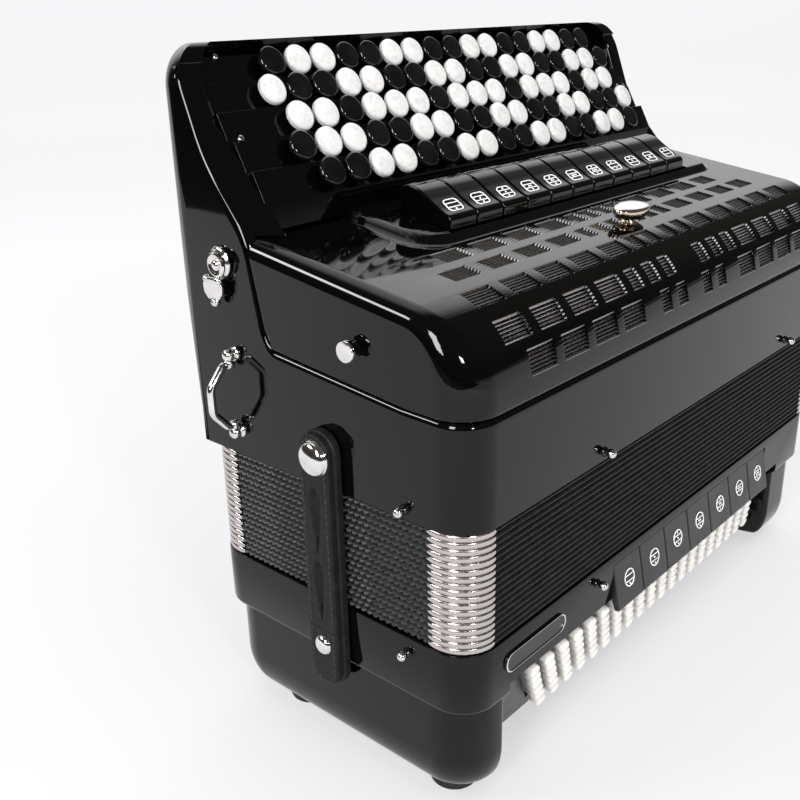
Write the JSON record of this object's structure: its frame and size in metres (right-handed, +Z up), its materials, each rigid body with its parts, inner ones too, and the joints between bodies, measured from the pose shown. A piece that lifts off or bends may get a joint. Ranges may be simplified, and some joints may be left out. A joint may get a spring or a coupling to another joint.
{
  "type": "chromatic button accordion",
  "caption": "Piano-black chromatic button accordion with round treble buttons, bass buttons, register switches, closed bellows, bellows straps and hand strap.",
  "frame": {"origin": "on the floor under the middle of the whole object's box", "axes": "+Z up through the bellows, +X along the long side, +Y from the grille towards the back of the keyboard"},
  "size_m": [0.4544, 0.205, 0.365],
  "materials": {
    "lacquer": "deep piano-black lacquer",
    "satin_black": "satin black",
    "register_black": "gloss black with pale printed symbols",
    "bass_register_black": "satin black with pale printed symbols",
    "pearl": "white pearloid",
    "treble_buttons": "white pearloid and gloss black caps",
    "wood": "plain varnished wood",
    "bellows_card": "black cloth-covered card with woven tape",
    "rubber": "moulded black rubber",
    "leather": "black grained leather, stitched",
    "steel": "bright steel",
    "nickel": "polished nickel"
  },
  "bodies": {
    "bass": {"bass_case": "lacquer", "bass_bottom_cover": "lacquer", "bass_button_plate": "satin_black", "bass_bellows_frame": "wood", "bass_foundation_board": "wood", "bass_reed_block": "wood", "bellows": "bellows_card", "foot_front_near": "rubber", "foot_back_near": "rubber", "foot_front_far": "rubber", "foot_back_far": "rubber", "bass_strap": "leather", "bellows_strap_base_near": "leather", "bellows_strap_base_far": "leather"},
    "treble": {"treble_case": "lacquer", "keyboard_board": "lacquer", "grille_cover": "lacquer", "treble_bellows_frame": "wood", "treble_foundation_board": "wood", "treble_reed_block": "wood", "keyboard_axle": "steel", "register_rail": "steel", "medallion": "nickel"},
    "bass_row_1": {"bass_button_row_1": "pearl"},
    "bass_row_2": {"bass_button_row_2": "pearl"},
    "bass_row_3": {"bass_button_row_3": "pearl"},
    "bass_row_4": {"bass_button_row_4": "pearl"},
    "bass_row_5": {"bass_button_row_5": "pearl"},
    "bass_row_6": {"bass_button_row_6": "pearl"},
    "treble_row_1": {"treble_button_row_1": "treble_buttons"},
    "treble_row_2": {"treble_button_row_2": "treble_buttons"},
    "treble_row_3": {"treble_button_row_3": "treble_buttons"},
    "treble_row_4": {"treble_button_row_4": "treble_buttons"},
    "treble_row_5": {"treble_button_row_5": "treble_buttons"},
    "bass_switch_1": {"bass_register_1": "bass_register_black"},
    "bass_switch_2": {"bass_register_2": "bass_register_black"},
    "bass_switch_3": {"bass_register_3": "bass_register_black"},
    "bass_switch_4": {"bass_register_4": "bass_register_black"},
    "bass_switch_5": {"bass_register_5": "bass_register_black"},
    "bass_switch_6": {"bass_register_6": "bass_register_black"},
    "bass_switch_7": {"bass_register_7": "bass_register_black"},
    "treble_switch_1": {"treble_register_1": "register_black"},
    "treble_switch_2": {"treble_register_2": "register_black"},
    "treble_switch_3": {"treble_register_3": "register_black"},
    "treble_switch_4": {"treble_register_4": "register_black"},
    "treble_switch_5": {"treble_register_5": "register_black"},
    "treble_switch_6": {"treble_register_6": "register_black"},
    "treble_switch_7": {"treble_register_7": "register_black"},
    "treble_switch_8": {"treble_register_8": "register_black"},
    "treble_switch_9": {"treble_register_9": "register_black"},
    "treble_switch_10": {"treble_register_10": "register_black"},
    "treble_switch_11": {"treble_register_11": "register_black"},
    "strap_near": {"bellows_strap_near": "leather"},
    "bail_near": {"strap_bail_near": "nickel"},
    "hook_near": {"strap_hook_near": "nickel"},
    "strap_far": {"bellows_strap_far": "leather"},
    "bail_far": {"strap_bail_far": "nickel"},
    "hook_far": {"strap_hook_far": "nickel"},
    "strap_wheel": {"bass_strap_wheel": "steel"},
    "air_valve": {"air_button": "pearl"}
  },
  "joints": [
    {"name": "bellows_open", "type": "slide", "parent": "bass", "child": "treble", "axis": [0, 0, 1], "range_m": [0, 0.25], "deforming": ["bellows"]},
    {"name": "bass_row_1_press", "type": "slide", "parent": "bass", "child": "bass_row_1", "axis": [0, 0.9552, 0.2961], "range_m": [0, 0.003], "stiffness_N_per_m": 300, "springref_m": -0.004},
    {"name": "bass_row_2_press", "type": "slide", "parent": "bass", "child": "bass_row_2", "axis": [0, 0.9552, 0.2961], "range_m": [0, 0.003], "stiffness_N_per_m": 300, "springref_m": -0.004},
    {"name": "bass_row_3_press", "type": "slide", "parent": "bass", "child": "bass_row_3", "axis": [0, 0.9552, 0.2961], "range_m": [0, 0.003], "stiffness_N_per_m": 300, "springref_m": -0.004},
    {"name": "bass_row_4_press", "type": "slide", "parent": "bass", "child": "bass_row_4", "axis": [0, 0.9552, 0.2961], "range_m": [0, 0.003], "stiffness_N_per_m": 300, "springref_m": -0.004},
    {"name": "bass_row_5_press", "type": "slide", "parent": "bass", "child": "bass_row_5", "axis": [0, 0.9552, 0.2961], "range_m": [0, 0.003], "stiffness_N_per_m": 300, "springref_m": -0.004},
    {"name": "bass_row_6_press", "type": "slide", "parent": "bass", "child": "bass_row_6", "axis": [0, 0.9552, 0.2961], "range_m": [0, 0.003], "stiffness_N_per_m": 300, "springref_m": -0.004},
    {"name": "treble_row_1_press", "type": "slide", "parent": "treble", "child": "treble_row_1", "axis": [0, 0.878, -0.4787], "range_m": [0, 0.0028], "stiffness_N_per_m": 400, "springref_m": -0.004},
    {"name": "treble_row_2_press", "type": "slide", "parent": "treble", "child": "treble_row_2", "axis": [0, 0.878, -0.4787], "range_m": [0, 0.0028], "stiffness_N_per_m": 400, "springref_m": -0.004},
    {"name": "treble_row_3_press", "type": "slide", "parent": "treble", "child": "treble_row_3", "axis": [0, 0.878, -0.4787], "range_m": [0, 0.0028], "stiffness_N_per_m": 400, "springref_m": -0.004},
    {"name": "treble_row_4_press", "type": "slide", "parent": "treble", "child": "treble_row_4", "axis": [0, 0.878, -0.4787], "range_m": [0, 0.0028], "stiffness_N_per_m": 400, "springref_m": -0.004},
    {"name": "treble_row_5_press", "type": "slide", "parent": "treble", "child": "treble_row_5", "axis": [0, 0.878, -0.4787], "range_m": [0, 0.0028], "stiffness_N_per_m": 400, "springref_m": -0.004},
    {"name": "bass_register_1_press", "type": "hinge", "parent": "bass", "child": "bass_switch_1", "pos_m": [0, -0.0945, 0.089], "axis": [1, 0, 0], "range_deg": [0, 6], "stiffness_Nm_per_rad": 0.08, "springref_deg": -5.73},
    {"name": "bass_register_2_press", "type": "hinge", "parent": "bass", "child": "bass_switch_2", "pos_m": [0, -0.0945, 0.089], "axis": [1, 0, 0], "range_deg": [0, 6], "stiffness_Nm_per_rad": 0.08, "springref_deg": -5.73},
    {"name": "bass_register_3_press", "type": "hinge", "parent": "bass", "child": "bass_switch_3", "pos_m": [0, -0.0945, 0.089], "axis": [1, 0, 0], "range_deg": [0, 6], "stiffness_Nm_per_rad": 0.08, "springref_deg": -5.73},
    {"name": "bass_register_4_press", "type": "hinge", "parent": "bass", "child": "bass_switch_4", "pos_m": [0, -0.0945, 0.089], "axis": [1, 0, 0], "range_deg": [0, 6], "stiffness_Nm_per_rad": 0.08, "springref_deg": -5.73},
    {"name": "bass_register_5_press", "type": "hinge", "parent": "bass", "child": "bass_switch_5", "pos_m": [0, -0.0945, 0.089], "axis": [1, 0, 0], "range_deg": [0, 6], "stiffness_Nm_per_rad": 0.08, "springref_deg": -5.73},
    {"name": "bass_register_6_press", "type": "hinge", "parent": "bass", "child": "bass_switch_6", "pos_m": [0, -0.0945, 0.089], "axis": [1, 0, 0], "range_deg": [0, 6], "stiffness_Nm_per_rad": 0.08, "springref_deg": -5.73},
    {"name": "bass_register_7_press", "type": "hinge", "parent": "bass", "child": "bass_switch_7", "pos_m": [0, -0.0945, 0.089], "axis": [1, 0, 0], "range_deg": [0, 6], "stiffness_Nm_per_rad": 0.08, "springref_deg": -5.73},
    {"name": "treble_register_1_press", "type": "hinge", "parent": "treble", "child": "treble_switch_1", "pos_m": [0, 0.0145, 0.277], "axis": [1, 0, 0], "range_deg": [0, 5], "stiffness_Nm_per_rad": 0.1, "springref_deg": -5.73},
    {"name": "treble_register_2_press", "type": "hinge", "parent": "treble", "child": "treble_switch_2", "pos_m": [0, 0.0145, 0.277], "axis": [1, 0, 0], "range_deg": [0, 5], "stiffness_Nm_per_rad": 0.1, "springref_deg": -5.73},
    {"name": "treble_register_3_press", "type": "hinge", "parent": "treble", "child": "treble_switch_3", "pos_m": [0, 0.0145, 0.277], "axis": [1, 0, 0], "range_deg": [0, 5], "stiffness_Nm_per_rad": 0.1, "springref_deg": -5.73},
    {"name": "treble_register_4_press", "type": "hinge", "parent": "treble", "child": "treble_switch_4", "pos_m": [0, 0.0145, 0.277], "axis": [1, 0, 0], "range_deg": [0, 5], "stiffness_Nm_per_rad": 0.1, "springref_deg": -5.73},
    {"name": "treble_register_5_press", "type": "hinge", "parent": "treble", "child": "treble_switch_5", "pos_m": [0, 0.0145, 0.277], "axis": [1, 0, 0], "range_deg": [0, 5], "stiffness_Nm_per_rad": 0.1, "springref_deg": -5.73},
    {"name": "treble_register_6_press", "type": "hinge", "parent": "treble", "child": "treble_switch_6", "pos_m": [0, 0.0145, 0.277], "axis": [1, 0, 0], "range_deg": [0, 5], "stiffness_Nm_per_rad": 0.1, "springref_deg": -5.73},
    {"name": "treble_register_7_press", "type": "hinge", "parent": "treble", "child": "treble_switch_7", "pos_m": [0, 0.0145, 0.277], "axis": [1, 0, 0], "range_deg": [0, 5], "stiffness_Nm_per_rad": 0.1, "springref_deg": -5.73},
    {"name": "treble_register_8_press", "type": "hinge", "parent": "treble", "child": "treble_switch_8", "pos_m": [0, 0.0145, 0.277], "axis": [1, 0, 0], "range_deg": [0, 5], "stiffness_Nm_per_rad": 0.1, "springref_deg": -5.73},
    {"name": "treble_register_9_press", "type": "hinge", "parent": "treble", "child": "treble_switch_9", "pos_m": [0, 0.0145, 0.277], "axis": [1, 0, 0], "range_deg": [0, 5], "stiffness_Nm_per_rad": 0.1, "springref_deg": -5.73},
    {"name": "treble_register_10_press", "type": "hinge", "parent": "treble", "child": "treble_switch_10", "pos_m": [0, 0.0145, 0.277], "axis": [1, 0, 0], "range_deg": [0, 5], "stiffness_Nm_per_rad": 0.1, "springref_deg": -5.73},
    {"name": "treble_register_11_press", "type": "hinge", "parent": "treble", "child": "treble_switch_11", "pos_m": [0, 0.0145, 0.277], "axis": [1, 0, 0], "range_deg": [0, 5], "stiffness_Nm_per_rad": 0.1, "springref_deg": -5.73},
    {"name": "bellows_strap_near_unsnap", "type": "hinge", "parent": "bass", "child": "strap_near", "pos_m": [-0.213, -0.0095, 0.084], "axis": [0, -1, 0], "range_deg": [0, 150]},
    {"name": "strap_bail_near_swing", "type": "hinge", "parent": "treble", "child": "bail_near", "pos_m": [-0.208, 0.0538, 0.1958], "axis": [0, 0, 1], "range_deg": [-60, 60]},
    {"name": "strap_hook_near_swivel", "type": "hinge", "parent": "treble", "child": "hook_near", "pos_m": [-0.209, 0.0575, 0.264], "axis": [1, 0, 0], "range_deg": [-45, 45]},
    {"name": "bellows_strap_far_unsnap", "type": "hinge", "parent": "bass", "child": "strap_far", "pos_m": [0.213, -0.0095, 0.084], "axis": [0, 1, 0], "range_deg": [0, 150]},
    {"name": "strap_bail_far_swing", "type": "hinge", "parent": "treble", "child": "bail_far", "pos_m": [0.208, 0.0538, 0.1958], "axis": [0, 0, 1], "range_deg": [-60, 60]},
    {"name": "strap_hook_far_swivel", "type": "hinge", "parent": "treble", "child": "hook_far", "pos_m": [0.209, 0.0575, 0.264], "axis": [1, 0, 0], "range_deg": [-45, 45]},
    {"name": "bass_strap_wheel_turn", "type": "hinge", "parent": "bass", "child": "strap_wheel", "pos_m": [0.207, 0.0325, 0.077], "axis": [1, 0, 0], "continuous": true},
    {"name": "air_button_press", "type": "slide", "parent": "bass", "child": "air_valve", "axis": [0, 0, 1], "range_m": [0, 0.003], "stiffness_N_per_m": 200, "springref_m": -0.004}
  ]
}
